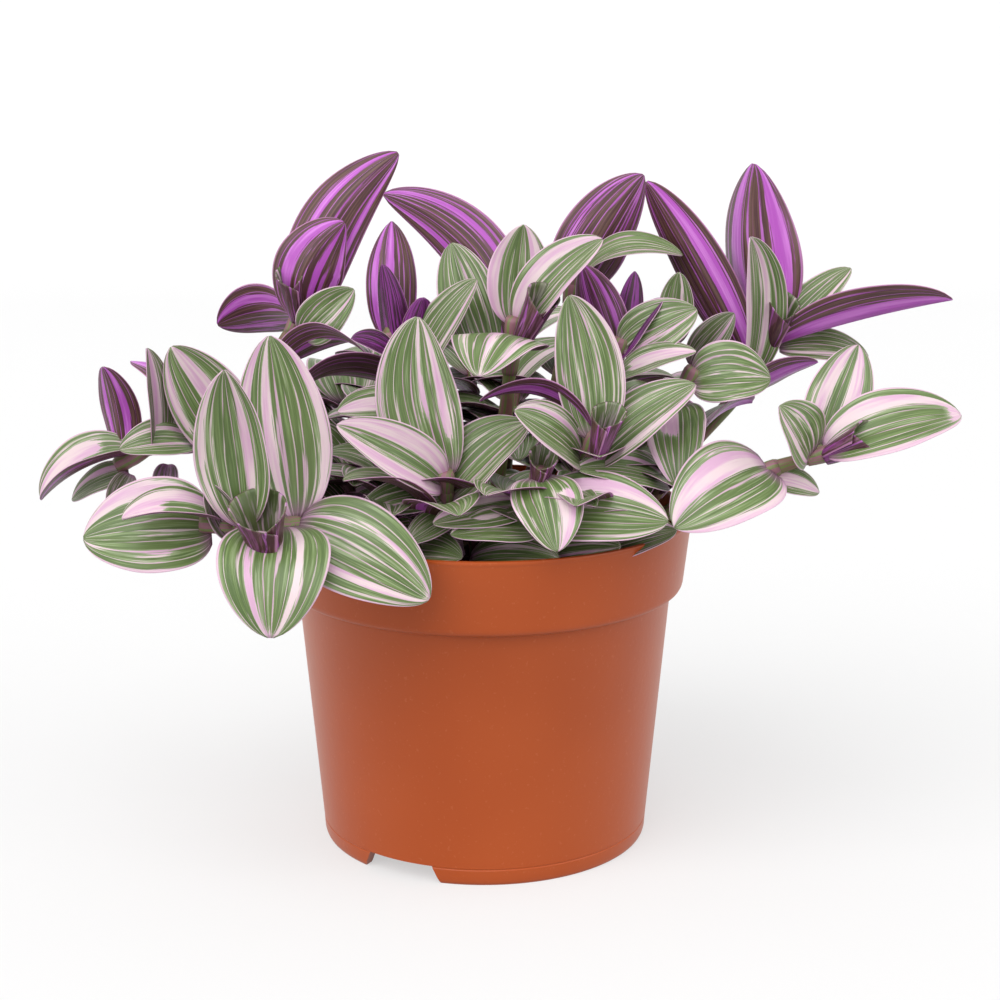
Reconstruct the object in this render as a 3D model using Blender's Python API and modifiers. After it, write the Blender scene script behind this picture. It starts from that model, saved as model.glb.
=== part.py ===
"""Potted tradescantia: a plastic grow pot, its soil, fifteen stems and the larger leaves, each a solid of its own.

Origin at the middle of the pot's foot, +Z up, front towards -Y. Blender works in metres; the tables are in mm.
"""

import math

import bmesh
import bpy
from mathutils import Vector

MM = 0.001

# Pot
POT_HEIGHT = 104.5
RIM_R = 65.0
BAND_HEIGHT = 23.6
BAND_FOOT_R = 62.2
BODY_TOP_R = 58.6
BODY_FOOT_R = 51.6
FOOT_R = 50.9
FOOT_WIDTH = 2.6
WALL = 1.5
FLOOR_UNDER = 6.2
FLOOR = 1.8
STEPS = 48
NOTCH_HEIGHT = 5.5
NOTCH_TOP = 22.0
NOTCH_FOOT = 27.0
NOTCH_ANGLES = (-120.0, 60.0)
DRAIN_R = 3.5
DRAIN_CIRCLE_R = 33.0
DRAIN_COUNT = 6
DRAIN_SIDES = 16

# Soil
GAP = 0.35
SOIL_EDGE = 94.0
SOIL_CROWN = 95.0

# Stems and leaves
STEM_R = 2.4
STEM_STEPS = 3
LEAF_THICK = 0.9
LEAF_OFF_STEM = 0.88
LEAF_STATIONS = (0.0, 0.06, 0.15, 0.28, 0.42, 0.56, 0.7, 0.84, 0.94, 1.0)
LEAF_ACROSS = (-1.0, -0.5, 0.0, 0.5, 1.0)
TIP_TAPER = 0.8
BASE_TRIM = 0.012

# Each stem: the points it passes through, from the soil up.
STEMS = {
    "front_left": [(-26, -28, 95.4), (-40, -43, 110), (-58, -61, 114), (-77, -62, 115)],
    "far_left": [(-40, -2, 95.4), (-62, 2, 114), (-85, 4, 124), (-103, 5, 123), (-114, 5, 118)],
    "upper_left": [(-34, 12, 95.4), (-52, 12, 125), (-64, 13, 149), (-58, 13, 163)],
    "mid_left": [(-20, 8, 95.4), (-26, 4, 130), (-29, 2, 160)],
    "crown": [(2, 0, 95.4), (6, -8, 130), (9, -15, 164)],
    "front_centre": [(-10, -28, 95.4), (-11, -40, 110), (-11, -46, 124)],
    "front_right": [(20, -25, 95.4), (26, -33, 116), (32, -41, 134)],
    "centre_right": [(18, -4, 95.4), (31, -8, 125), (41, -11, 157)],
    "back_centre": [(10, 22, 95.4), (22, 20, 135), (28, 16, 175)],
    "low_front": [(8, -42, 95.4), (13, -47, 110), (16, -50, 126)],
    "low_right": [(36, -22, 95.4), (60, -33, 114), (84, -37, 125), (100, -37, 130)],
    "right": [(34, 2, 95.4), (58, 0, 118), (77, -2, 140), (88, -1, 158)],
    "mid_right": [(34, -10, 95.4), (52, -12, 126), (62, -16, 149)],
    "back_left": [(-20, 38, 95.4), (-30, 52, 112), (-38, 62, 122)],
    "back_right": [(22, 40, 95.4), (34, 55, 112), (44, 64, 120)],
}

# Each leaf: its stem, where on the stem (in control points), the side it leaves by, tip, which way its upper
# side faces, width, arch, sideways bend, fold of each half, cup of each half and how broad its shoulders are.
LEAVES = {
    "front_left_1": ("front_left", 1.75, (0, 0.3, 1), (-61, -45, 166), (0.05, -1, 0.15), 28, -0.06, 0, 8, 12, 0.6),
    "front_left_2": ("front_left", 2.46, (0, -1, 0.3), (-71, -67, 160), (-0.2, -1, 0.1), 26, -0.05, 0, 28, 10, 0.65),
    "front_left_3": ("front_left", 2.0, (0.2, -1, 0), (-58, -87, 89), (0, -0.85, 0.5), 32, 0.22, 0, 5, 10, 0.6),
    "front_left_4": ("front_left", 1.8, (0.5, -0.8, 0), (-15, -73, 96), (0.15, -0.8, 0.6), 30, 0.12, 0, 5, 10, 0.5),
    "front_left_5": ("front_left", 3.0, (-1, 0, 0), (-113, -63, 111), (0.05, -0.75, 0.65), 31, 0.08, 0, 5, 8, 0.5),
    "front_left_6": ("front_left", 2.9, (-0.5, -0.5, 0.7), (-100, -73, 119), (0.1, -0.35, 0.9), 16, 0.1, 0, 30, 10, 0.6),
    "far_left_1": ("far_left", 3.6, (-0.3, -0.6, 0.7), (-139, 1, 107), (-0.35, -0.35, 0.85), 22, 0.1, 0, 38, 0, 0.6),
    "far_left_2": ("far_left", 3.9, (0, 0.5, 1), (-118, 2, 149), (0.3, 0.95, 0.1), 15, 0.06, 0, 20, 10, 0.6),
    "far_left_3": ("far_left", 2.6, (0, 0.6, 1), (-111, 12, 149), (-0.6, 0.25, -0.7), 19, -0.38, 0, 5, 10, 0.7),
    "far_left_4": ("far_left", 2.3, (0, -1, 0.2), (-112, -8, 125), (-0.2, -0.8, 0.55), 14, 0.18, 0, 10, 10, 0.6),
    "far_left_5": ("far_left", 1.5, (0, -1, 0.3), (-96, -2, 156), (-0.1, -0.97, 0.25), 25, 0, 0, 8, 10, 0.6),
    "upper_left_1": ("upper_left", 2.9, (0.8, 0.6, 0), (-27, 24, 213), (0.3, 0.95, 0), 24, -0.06, 0.12, 15, 10, 0.55),
    "upper_left_2": ("upper_left", 3.0, (0.2, -1, 0), (-43, 8, 193), (0.25, 0.95, 0.15), 24, -0.1, 0.12, 15, 10, 0.62),
    "upper_left_3": ("upper_left", 3.0, (-1, 0.1, 0), (-85, 23, 159), (-0.1, 0.9, 0.4), 20, 0.15, 0, 5, 10, 0.68),
    "upper_left_4": ("upper_left", 2.0, (0.3, -0.9, 0), (-35, -12, 155), (0, 0.6, 0.8), 17, 0.18, 0, 8, 10, 0.55),
    "mid_left_1": ("mid_left", 1.9, (0, 1, 0.2), (-29, 20, 192), (0, 0.95, -0.1), 17, -0.1, 0, 15, 10, 0.6),
    "crown_1": ("crown", 2.0, (0.2, 1, 0), (12, -9, 194), (0, -0.97, 0.2), 21, -0.05, 0, 18, 10, 0.6),
    "crown_2": ("crown", 2.0, (1, -0.2, 0), (35, -22, 191), (-0.45, -0.7, 0.55), 20, 0.1, 0, 18, 10, 0.6),
    "crown_3": ("crown", 1.85, (-0.2, -1, 0), (-1, -49, 155), (-0.05, -0.35, 0.93), 29, 0.22, 0, -5, -5, 0.4),
    "crown_4": ("crown", 1.7, (-0.4, 1, 0), (-31, 14, 201), (-0.1, 0.85, 0.45), 22, 0.06, -0.16, 5, 10, 0.55),
    "front_centre_1": ("front_centre", 1.95, (0, 1, 0), (-19, -35, 170), (0, -0.98, 0.15), 25, -0.03, -0.09, 6, 10, 0.6),
    "front_centre_2": ("front_centre", 2.0, (-0.5, -0.8, 0.2), (-41, -60, 143), (-0.1, -0.75, 0.6), 19, 0.06, 0, 22, 10, 0.5),
    "front_centre_3": ("front_centre", 1.6, (0.7, 0.8, 0), (13, -37, 139), (-0.4, -0.75, 0.55), 22, 0.1, 0, 20, 10, 0.5),
    "front_right_1": ("front_right", 2.0, (0, 1, 0), (25, -33, 176), (0.05, -0.98, 0.15), 21, -0.04, 0.05, 10, 10, 0.6),
    "front_right_2": ("front_right", 1.7, (-0.9, -0.6, 0), (9, -55, 146), (0.1, -0.7, 0.7), 18, 0.08, 0, 8, 10, 0.65),
    "front_right_3": ("front_right", 1.6, (0.95, 0.2, 0), (62, -34, 150), (-0.2, -0.6, 0.75), 19, 0.1, 0, 5, 10, 0.65),
    "centre_right_1": ("centre_right", 2.0, (0.5, -0.8, 0), (64, -13, 169), (-0.15, -0.8, 0.6), 19, 0.08, 0, 5, 10, 0.5),
    "back_centre_1": ("back_centre", 1.9, (0, 1, 0), (50, 26, 206), (0, 0.97, 0.15), 24, -0.05, 0.05, 10, 10, 0.45),
    "back_centre_2": ("back_centre", 2.0, (0.8, -0.4, 0.3), (61, 6, 183), (0, 0.1, 1), 15, 0.2, 0, 10, 10, 0.5),
    "low_front_1": ("low_front", 2.0, (0, -1, 0.2), (21, -70, 109), (0.1, -0.75, 0.65), 21, 0.12, 0, 5, 10, 0.5),
    "low_front_2": ("low_front", 1.45, (-1, -0.3, 0), (-14, -62, 115), (0, -0.7, 0.7), 13, 0.04, 0, 5, 10, 0.5),
    "low_front_3": ("low_front", 1.4, (0.9, -0.6, 0), (53, -55, 114), (0, -0.65, 0.75), 26, 0.08, 0, 5, 5, 0.5),
    "low_right_1": ("low_right", 2.0, (-0.3, -0.8, 0.3), (55, -55, 112), (-0.15, -0.75, 0.65), 29, 0.12, 0, 5, 10, 0.5),
    "low_right_2": ("low_right", 3.04, (0, -1, 0.3), (140, -34, 141), (-0.15, -0.65, 0.75), 24, 0.1, 0, 12, 10, 0.6),
    "low_right_3": ("low_right", 2.95, (0.4, 0.9, 0.2), (112, -18, 159), (-0.15, -0.95, 0.15), 20, -0.02, 0, 10, 10, 0.6),
    "right_1": ("right", 3.0, (0, 0.8, 0.3), (82, 6, 211), (0.5, 0.85, 0.1), 34, -0.05, 0.06, 35, 10, 0.6),
    "right_2": ("right", 3.0, (1, 0.3, 0), (139, -20, 173), (-0.15, 0.5, 0.85), 24, 0.02, 0, 30, 0, 0.8),
    "right_3": ("right", 2.35, (-0.4, -1, 0), (79, -16, 191), (0.55, -0.8, 0), 19, 0, 0.08, 22, 10, 0.65),
    "right_4": ("right", 2.5, (-0.8, 0.2, 0), (50, 13, 205), (0.35, 0.9, 0.25), 19, 0.03, 0, 15, 10, 0.7),
    "mid_right_1": ("mid_right", 2.0, (0.5, -0.6, 0.3), (86, -18, 149), (-0.15, -0.75, 0.65), 22, 0.15, 0, 5, 10, 0.5),
    "mid_right_2": ("mid_right", 1.6, (-0.5, -0.9, 0), (57, -42, 121), (-0.1, -0.85, 0.5), 19, 0.15, 0, 5, 10, 0.45),
    "back_left_1": ("back_left", 2.0, (-0.5, 0.8, 0), (-62, 84, 112), (-0.2, 0.5, 0.8), 27, 0.15, 0, 8, 10, 0.5),
    "back_right_1": ("back_right", 2.0, (0.6, 0.7, 0), (76, 82, 112), (0.2, 0.5, 0.8), 27, 0.15, 0, 8, 10, 0.5),
}
# END OF TABLES


def clear_scene():
    for obj in list(bpy.data.objects):
        bpy.data.objects.remove(obj, do_unlink=True)


def new_collection(name):
    made = bpy.data.collections.new(name)
    bpy.context.scene.collection.children.link(made)
    return made


def new_material(name, colour, roughness):
    made = bpy.data.materials.new(name)
    made.use_nodes = True
    shader = made.node_tree.nodes["Principled BSDF"]
    shader.inputs["Base Color"].default_value = (*colour, 1)
    shader.inputs["Roughness"].default_value = roughness
    return made


def new_object(name, data, collection, material):
    made = bpy.data.objects.new(name, data)
    if material is not None:
        made.data.materials.append(material)
    collection.objects.link(made)
    return made


def polyline(name, points):
    data = bpy.data.meshes.new(name)
    data.from_pydata([Vector(p) * MM for p in points], [(i, i + 1) for i in range(len(points) - 1)], [])
    return data


def turned(name, profile, collection, material):
    """A solid of revolution from a profile of (radius, height) that runs down its outer side."""
    made = new_object(name, polyline(name, [(r, 0, z) for r, z in profile]), collection, material)
    screw = made.modifiers.new("turn", "SCREW")
    screw.axis = "Z"
    screw.steps = STEPS
    screw.render_steps = STEPS
    screw.use_merge_vertices = True
    screw.merge_threshold = 1e-5
    screw.use_smooth_shade = False
    return made


def cut(target, cutter, cutters):
    cutter.hide_render = True
    cutter.display_type = "WIRE"
    cutters.objects.link(cutter)
    boolean = target.modifiers.new(cutter.name, "BOOLEAN")
    boolean.operation = "DIFFERENCE"
    boolean.solver = "EXACT"
    boolean.object = cutter


def notch_cutter(name, angle):
    """A block with slanting ends, through the foot ring at this angle about Z."""
    inner, outer, under = FOOT_R - 3 * FOOT_WIDTH, FOOT_R + FOOT_WIDTH, -2.0
    slope = (NOTCH_FOOT - NOTCH_TOP) / 2 / NOTCH_HEIGHT
    foot_half, top_half = NOTCH_FOOT / 2 - slope * under, NOTCH_TOP / 2
    shape = bmesh.new()
    rows = []
    for r in (inner, outer):
        corners = ((-foot_half, under), (foot_half, under), (top_half, NOTCH_HEIGHT), (-top_half, NOTCH_HEIGHT))
        rows.append([shape.verts.new(Vector((r, y, z)) * MM) for y, z in corners])
    shape.faces.new(rows[0])
    shape.faces.new(rows[1][::-1])
    for i in range(4):
        shape.faces.new((rows[0][i], rows[1][i], rows[1][(i + 1) % 4], rows[0][(i + 1) % 4]))
    bmesh.ops.recalc_face_normals(shape, faces=shape.faces)
    data = bpy.data.meshes.new(name)
    shape.to_mesh(data)
    shape.free()
    made = bpy.data.objects.new(name, data)
    made.rotation_euler.z = math.radians(angle)
    return made


def drain_cutter(name, angle):
    shape = bmesh.new()
    bmesh.ops.create_cone(
        shape,
        cap_ends=True,
        segments=DRAIN_SIDES,
        radius1=DRAIN_R * MM,
        radius2=DRAIN_R * MM,
        depth=4 * FLOOR * MM,
    )
    data = bpy.data.meshes.new(name)
    shape.to_mesh(data)
    shape.free()
    made = bpy.data.objects.new(name, data)
    middle = (DRAIN_CIRCLE_R * math.cos(angle), DRAIN_CIRCLE_R * math.sin(angle), FLOOR_UNDER + FLOOR / 2)
    made.location = Vector(middle) * MM
    return made


def build_pot(collection, cutters, material):
    band_foot = POT_HEIGHT - BAND_HEIGHT
    floor_top = FLOOR_UNDER + FLOOR
    profile = [
        (0, floor_top),
        (BODY_FOOT_R - WALL - 2.0, floor_top),
        (BODY_FOOT_R - WALL + 0.5, floor_top + 2.0),
        (BODY_TOP_R - WALL, band_foot),
        (BODY_TOP_R - WALL + 0.6, band_foot + 1.6),
        (BAND_FOOT_R - WALL + 0.2, band_foot + 2.6),
        (RIM_R - WALL, POT_HEIGHT - 0.5),
        (RIM_R - WALL + 0.4, POT_HEIGHT),
        (RIM_R - 0.4, POT_HEIGHT),
        (RIM_R, POT_HEIGHT - 0.5),
        (RIM_R - 0.1, POT_HEIGHT - 1.6),
        (BAND_FOOT_R + 0.3, band_foot + 2.4),
        (BAND_FOOT_R - 0.2, band_foot + 1.0),
        (BAND_FOOT_R - 1.2, band_foot + 0.2),
        (BAND_FOOT_R - 2.2, band_foot),
        (BODY_TOP_R, band_foot - 0.4),
        (BODY_FOOT_R, 1.6),
        (FOOT_R + 0.4, 0.5),
        (FOOT_R, 0),
        (FOOT_R - FOOT_WIDTH, 0),
        (FOOT_R - FOOT_WIDTH - 0.4, FLOOR_UNDER),
        (0, FLOOR_UNDER),
    ]
    pot = turned("pot", profile, collection, material)
    for i, angle in enumerate(NOTCH_ANGLES):
        cut(pot, notch_cutter(f"notch_cutter_{i + 1}", angle), cutters)
    for i in range(DRAIN_COUNT):
        cut(pot, drain_cutter(f"drain_cutter_{i + 1}", 2 * math.pi * (i + 0.5) / DRAIN_COUNT), cutters)


def build_soil(collection, material):
    band_foot = POT_HEIGHT - BAND_HEIGHT
    floor_top = FLOOR_UNDER + FLOOR
    edge_r = RIM_R - WALL - GAP - (RIM_R - BAND_FOOT_R) * (POT_HEIGHT - SOIL_EDGE) / BAND_HEIGHT - 0.2
    profile = [
        (0, SOIL_CROWN),
        (edge_r - 14, SOIL_CROWN - 0.2),
        (edge_r, SOIL_EDGE),
        (BAND_FOOT_R - WALL - 0.3, band_foot + 3.4),
        (BODY_TOP_R - WALL - GAP, band_foot + 1.0),
        (BODY_FOOT_R - WALL + 0.5 - GAP, floor_top + 2.4),
        (BODY_FOOT_R - WALL - 2.4, floor_top + GAP),
        (0, floor_top + GAP),
    ]
    turned("soil", profile, collection, material)


def on_stem(points, at):
    """The point this many control points along the stem, and the stem's direction there."""
    p = [Vector(q) for q in points]
    p = [2 * p[0] - p[1], *p, 2 * p[-1] - p[-2]]
    i = min(int(at), len(points) - 2)
    t = at - i
    a, b, c, d = p[i : i + 4]
    square, cube = 2 * a - 5 * b + 4 * c - d, 3 * (b - c) - a + d
    here = (2 * b + (c - a) * t + square * t * t + cube * t**3) / 2
    return here, ((c - a) + 2 * square * t + 3 * cube * t * t).normalized()


def build_stem(name, points, collection, material):
    count = STEM_STEPS * (len(points) - 1)
    line = [on_stem(points, i / STEM_STEPS)[0] for i in range(count + 1)]
    foot = line[0]
    line = [foot, foot + Vector((0, 0, 2.5)), *line[1:]]
    data = bpy.data.curves.new(name, "CURVE")
    data.dimensions = "3D"
    data.bevel_depth = STEM_R * MM
    data.bevel_resolution = 2
    data.use_fill_caps = True
    spline = data.splines.new("POLY")
    spline.points.add(len(line) - 1)
    for point, here in zip(spline.points, line):
        point.co = (*(here * MM), 1)
    new_object(name, data, collection, material)


def blade_points(stem, at, out, tip, face, width, arch, bend, fold, cup, shoulder):
    """Rows of points across the leaf's middle surface, from its base to its tip."""
    here, along = on_stem(STEMS[stem], at)
    side_out = Vector(out) - along * Vector(out).dot(along)
    base = here + side_out.normalized() * (STEM_R + LEAF_OFF_STEM)
    chord = Vector(tip) - base
    length = chord.length
    axis = chord / length
    up = (Vector(face) - axis * Vector(face).dot(axis)).normalized()
    across = axis.cross(up)
    widest = shoulder / (shoulder + TIP_TAPER)
    most = widest**shoulder * (1 - widest) ** TIP_TAPER
    fold, cup = math.radians(fold), math.radians(cup)
    rows = []
    for u in LEAF_STATIONS:
        bow = 4 * u * (1 - u) * length
        middle = base + chord * u + up * arch * bow + across * bend * bow
        turn = 4 * (1 - 2 * u)
        ahead = (axis + up * arch * turn + across * bend * turn).normalized()
        normal = (up - ahead * up.dot(ahead)).normalized()
        side = ahead.cross(normal)
        grown = BASE_TRIM + (1 - BASE_TRIM) * u
        half = width / 2 * grown**shoulder * max(1 - grown, 0) ** TIP_TAPER / most
        row = []
        for v in LEAF_ACROSS:
            flat = half * abs(math.sin(cup * v) / cup) if cup else half * abs(v)
            rise = half * (1 - math.cos(cup * v)) / cup if cup else 0
            x = flat * math.cos(fold) - rise * math.sin(fold)
            z = flat * math.sin(fold) + rise * math.cos(fold)
            row.append(middle + side * math.copysign(x, v) + normal * z)
        rows.append(row)
    return rows


def build_leaf(name, leaf, collection, material):
    rows = blade_points(*leaf)
    across = len(LEAF_ACROSS)
    points = [p * MM for row in rows[:-1] for p in row] + [rows[-1][across // 2] * MM]
    faces = []
    for i in range(len(rows) - 2):
        for j in range(across - 1):
            a = i * across + j
            faces.append((a, a + 1, a + across + 1, a + across))
    last = (len(rows) - 2) * across
    faces += [(last + j, last + j + 1, len(points) - 1) for j in range(across - 1)]
    data = bpy.data.meshes.new(name)
    data.from_pydata(points, [], faces)
    made = new_object(name, data, collection, material)
    thick = made.modifiers.new("thickness", "SOLIDIFY")
    thick.thickness = LEAF_THICK * MM
    thick.offset = 0


def main():
    clear_scene()
    part = new_collection("potted_tradescantia")
    cutters = new_collection("cutters")
    cutters.hide_render = True
    build_pot(part, cutters, new_material("pot_plastic", (0.49, 0.115, 0.04), 0.42))
    build_soil(part, new_material("soil_mix", (0.045, 0.028, 0.018), 0.95))
    for name, points in STEMS.items():
        build_stem(f"stem_{name}", points, part, new_material(f"stem_{name}_green", (0.16, 0.2, 0.07), 0.5))
    for name, leaf in LEAVES.items():
        build_leaf(f"leaf_{name}", leaf, part, new_material(f"leaf_{name}_striped", (0.2, 0.25, 0.12), 0.45))


main()
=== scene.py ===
"""How the potted tradescantia looks.

Fine leaves, stems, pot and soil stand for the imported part's plain ones, on a white floor in soft light.
Tables are in millimetres in the part's own frame; Blender works in metres.
"""

import math

import bmesh
import bpy
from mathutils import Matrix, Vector, noise


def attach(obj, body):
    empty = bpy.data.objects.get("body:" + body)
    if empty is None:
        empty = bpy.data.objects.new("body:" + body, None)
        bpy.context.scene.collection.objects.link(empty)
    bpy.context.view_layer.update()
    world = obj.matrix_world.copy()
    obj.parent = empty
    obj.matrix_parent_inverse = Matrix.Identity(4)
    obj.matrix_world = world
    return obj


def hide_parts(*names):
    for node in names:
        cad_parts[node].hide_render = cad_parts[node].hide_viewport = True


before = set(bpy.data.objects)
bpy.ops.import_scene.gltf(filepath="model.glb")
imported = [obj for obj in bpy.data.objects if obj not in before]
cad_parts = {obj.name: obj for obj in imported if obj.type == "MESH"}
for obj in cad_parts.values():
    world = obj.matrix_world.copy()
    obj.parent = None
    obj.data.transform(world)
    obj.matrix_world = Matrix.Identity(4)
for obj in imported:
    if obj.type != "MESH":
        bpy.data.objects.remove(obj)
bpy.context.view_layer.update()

MM = 0.001

# Each stem: points from the soil up to its end.
STEMS = {
    "front_left": [(-26, -28, 95.4), (-40, -43, 110), (-58, -61, 114), (-77, -62, 115)],
    "far_left": [(-40, -2, 95.4), (-62, 2, 114), (-85, 4, 124), (-103, 5, 123), (-114, 5, 118)],
    "upper_left": [(-34, 12, 95.4), (-52, 12, 125), (-64, 13, 149), (-58, 13, 163)],
    "mid_left": [(-20, 8, 95.4), (-26, 4, 130), (-29, 2, 160)],
    "crown": [(2, 0, 95.4), (6, -8, 130), (9, -15, 164)],
    "front_centre": [(-10, -28, 95.4), (-11, -40, 110), (-11, -46, 124)],
    "front_right": [(20, -25, 95.4), (26, -33, 116), (32, -41, 134)],
    "centre_right": [(18, -4, 95.4), (31, -8, 125), (41, -11, 157)],
    "back_centre": [(10, 22, 95.4), (22, 20, 135), (28, 16, 175)],
    "low_front": [(8, -42, 95.4), (13, -47, 110), (16, -50, 126)],
    "low_right": [(36, -22, 95.4), (60, -33, 114), (84, -37, 125), (100, -37, 130)],
    "right": [(34, 2, 95.4), (58, 0, 118), (77, -2, 140), (88, -1, 158)],
    "mid_right": [(34, -10, 95.4), (52, -12, 126), (62, -16, 149)],
    "back_left": [(-20, 38, 95.4), (-30, 52, 112), (-38, 62, 122)],
    "back_right": [(22, 40, 95.4), (34, 55, 112), (44, 64, 120)],
}

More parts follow.
